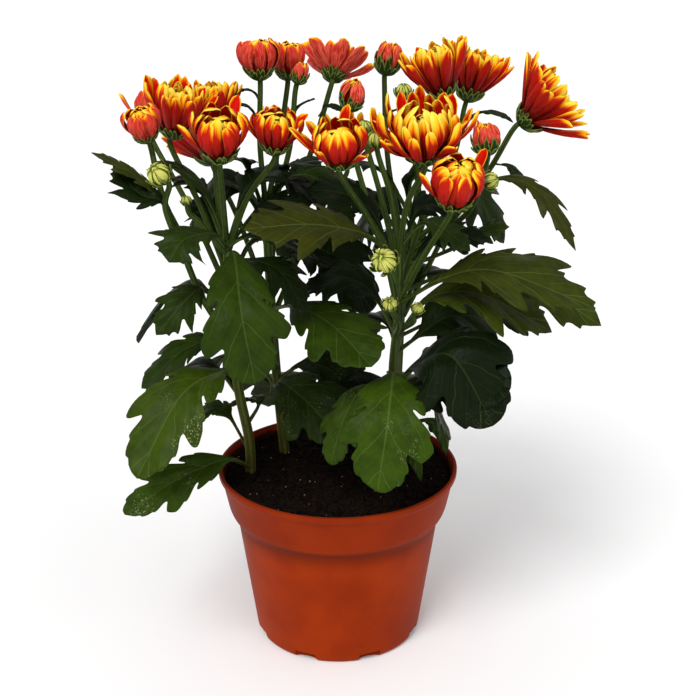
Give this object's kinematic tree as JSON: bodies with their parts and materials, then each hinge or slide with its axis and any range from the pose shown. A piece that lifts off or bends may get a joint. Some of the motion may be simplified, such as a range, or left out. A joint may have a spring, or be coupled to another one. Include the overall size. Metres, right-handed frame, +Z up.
{
  "type": "pot chrysanthemum",
  "caption": "Bushy flowering chrysanthemum with lobed leaves and orange-red, yellow-tipped heads, rooted in peat in a tapered plastic nursery pot that stands on its base.",
  "frame": {"origin": "middle of the pot's base, on the surface that it stands on", "axes": "+Z up along the pot's axis, +X to the right as the plant is usually looked at, +Y away from the viewer"},
  "size_m": [0.2523, 0.2047, 0.3278],
  "materials": {
    "terracotta": "satin",
    "peat": "matte",
    "leaf": "satin",
    "petal": "matte"
  },
  "bodies": {
    "root": {"pot": "terracotta", "soil": "peat", "left_stem": "leaf", "right_stem": "leaf", "middle_stem": "leaf", "far_stem": "leaf", "bloom_o": "petal", "bloom_n": "petal", "bloom_p": "petal", "bloom_q": "petal", "bloom_s": "petal", "bloom_r": "petal", "bloom_a": "petal", "bloom_b": "petal", "bloom_c": "petal", "bloom_d": "petal", "bloom_back_left": "petal", "bloom_back_mid": "petal", "bloom_back_far": "petal", "bloom_j": "petal", "bloom_m": "petal", "bloom_l": "petal", "bloom_e": "petal", "bloom_f": "petal", "bloom_g": "petal", "bloom_h": "petal", "bloom_i": "petal", "bloom_k": "petal", "bloom_back_right": "petal", "bloom_back_side": "petal"}
  },
  "joints": []
}
